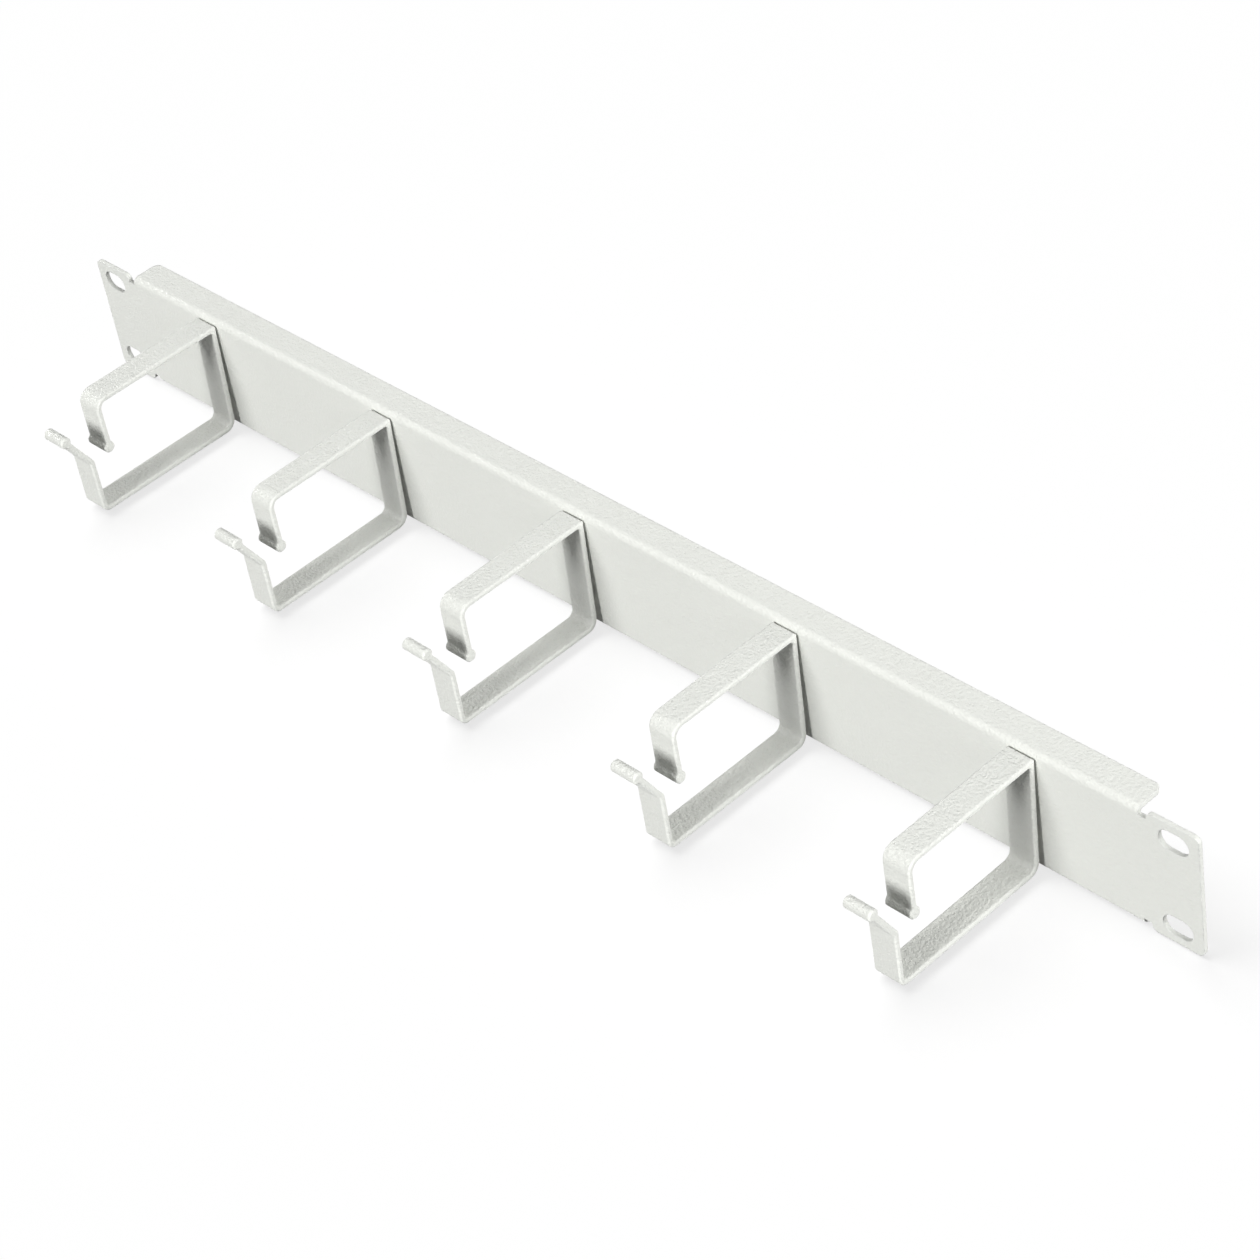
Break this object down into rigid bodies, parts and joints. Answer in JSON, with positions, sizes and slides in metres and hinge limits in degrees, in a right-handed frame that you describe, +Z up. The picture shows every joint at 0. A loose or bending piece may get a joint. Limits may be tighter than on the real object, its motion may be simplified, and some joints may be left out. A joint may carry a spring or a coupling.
{
  "type": "horizontal cable manager",
  "caption": "Folded sheet steel rack panel, one rack unit high, with a row of open strip hooks welded on its front to carry patch cords.",
  "frame": {"origin": "centre of the four rack slots, on the rear face of the ears where they meet the rack posts", "axes": "+X to the right along the panel seen from the front, +Y back into the rack, +Z up"},
  "size_m": [0.4826, 0.0796, 0.044],
  "materials": {
    "panel_paint": "light grey powder coat, fine texture, satin",
    "hook_paint": "light grey powder coat, fine texture, satin"
  },
  "bodies": {
    "root": {"front_panel": "panel_paint", "cable_hook_1": "hook_paint", "cable_hook_2": "hook_paint", "cable_hook_3": "hook_paint", "cable_hook_4": "hook_paint", "cable_hook_5": "hook_paint"}
  },
  "joints": []
}
